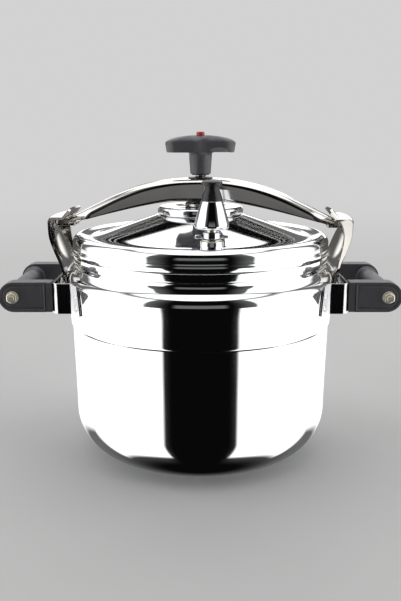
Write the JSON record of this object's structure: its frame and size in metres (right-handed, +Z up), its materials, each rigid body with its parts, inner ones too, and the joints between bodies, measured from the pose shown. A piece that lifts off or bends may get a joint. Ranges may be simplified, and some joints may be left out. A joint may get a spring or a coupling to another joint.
{
  "type": "pressure canner",
  "caption": "Polished aluminium pressure canner with a screw-down yoke lid held by side hooks, a weighted steam valve and bail-shaped side handles.",
  "frame": {"origin": "centre of the flat base, on the surface the pot stands on", "axes": "+Z up along the pot's axis, +X towards the right handle, -Y towards the front, where the weighted valve is"},
  "size_m": [0.4116, 0.2866, 0.3447],
  "materials": {
    "pot_aluminium": "mirror polished",
    "lid_aluminium": "mirror polished",
    "disc_aluminium": "polished",
    "rivet_aluminium": "polished",
    "stainless": "polished stainless steel",
    "bracket_steel": "polished stainless steel",
    "plated_steel": "zinc plated",
    "screw_steel": "machined",
    "chrome": "chrome plated",
    "brass": "turned",
    "dark_phenolic": "satin moulded",
    "black_plastic": "glossy moulded",
    "red_plastic": "glossy moulded",
    "black_rubber": "matt"
  },
  "bodies": {
    "pot": {"pot_body": "pot_aluminium", "hook_left": "stainless", "hook_right": "stainless", "hook_rivets_left": "rivet_aluminium", "hook_rivets_right": "rivet_aluminium", "bracket_left": "bracket_steel", "bracket_right": "bracket_steel", "bracket_rivets_left": "rivet_aluminium", "bracket_rivets_right": "rivet_aluminium", "arm_left_front": "dark_phenolic", "arm_left_rear": "dark_phenolic", "arm_right_front": "dark_phenolic", "arm_right_rear": "dark_phenolic", "grip_left": "dark_phenolic", "grip_right": "dark_phenolic", "grip_bolt_left": "plated_steel", "grip_bolt_right": "plated_steel", "grip_nut_left": "plated_steel", "grip_nut_right": "plated_steel", "arm_screws_left": "plated_steel", "arm_screws_right": "plated_steel"},
    "lid": {"lid": "lid_aluminium", "lid_gasket": "black_rubber", "pressure_disc": "disc_aluminium", "valve_stem": "brass", "valve_ring": "chrome", "valve_seal": "black_rubber", "valve_nut": "brass", "safety_body": "brass", "safety_seal": "black_rubber", "safety_nut": "brass"},
    "weight": {"weight_skirt": "chrome", "weight_cover": "black_plastic", "weight_cap": "black_plastic"},
    "safety_pin": {"safety_pin": "red_plastic"},
    "yoke": {"yoke": "stainless", "yoke_bush": "brass"},
    "foot": {"pressure_foot": "plated_steel"},
    "screw": {"clamp_screw": "screw_steel", "foot_clip": "plated_steel", "screw_washer": "plated_steel", "knob": "dark_phenolic", "knob_cap": "red_plastic"}
  },
  "joints": [
    {"name": "lid_lift", "type": "slide", "parent": "pot", "child": "lid", "axis": [0, 0, 1], "range_m": [0, 0.2]},
    {"name": "yoke_swing", "type": "hinge", "parent": "lid", "child": "yoke", "pos_m": [0, 0, 0.27], "axis": [0, 0, 1], "range_deg": [-4, 66]},
    {"name": "foot_travel", "type": "slide", "parent": "yoke", "child": "foot", "axis": [0, 0, 1], "range_m": [0, 0.0091]},
    {"name": "knob_turn", "type": "hinge", "parent": "foot", "child": "screw", "pos_m": [0, 0, 0.3], "axis": [0, 0, 1], "range_deg": [0, 1080]},
    {"name": "weight_lift", "type": "slide", "parent": "lid", "child": "weight", "axis": [0, 0, 1], "range_m": [0, 0.035]},
    {"name": "safety_pop", "type": "slide", "parent": "lid", "child": "safety_pin", "axis": [0, 0, 1], "range_m": [0, 0.0018]}
  ],
  "couplings": [
    {"joint": "foot_travel", "follows": "knob_turn", "m_per_rad": 0.00047746}
  ]
}
